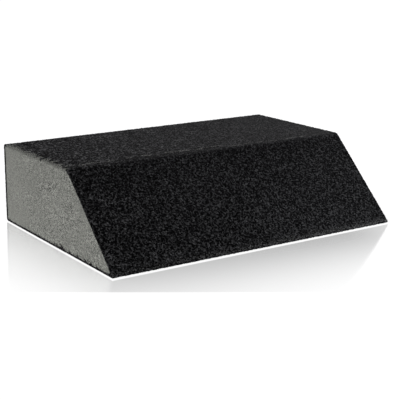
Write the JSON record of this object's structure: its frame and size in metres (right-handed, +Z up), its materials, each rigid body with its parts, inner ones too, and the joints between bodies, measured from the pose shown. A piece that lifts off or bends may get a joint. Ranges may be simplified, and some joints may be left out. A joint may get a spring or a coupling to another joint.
{
  "type": "sanding sponge",
  "caption": "Block-shaped sanding sponge with one long bevelled edge: grey foam, bare at both cut ends, with a black abrasive grit coat round its long faces.",
  "frame": {"origin": "centre of the block's length and depth, at the plane of its widest face, on which it rests", "axes": "+X along the length, +Z up from the widest face, +Y towards the square back face; the bevel faces -Y"},
  "size_m": [0.1, 0.0694, 0.025],
  "materials": {
    "foam": "matte",
    "coat": "matte"
  },
  "bodies": {
    "root": {"foam_block": "foam", "abrasive_coat": "coat"}
  },
  "joints": []
}
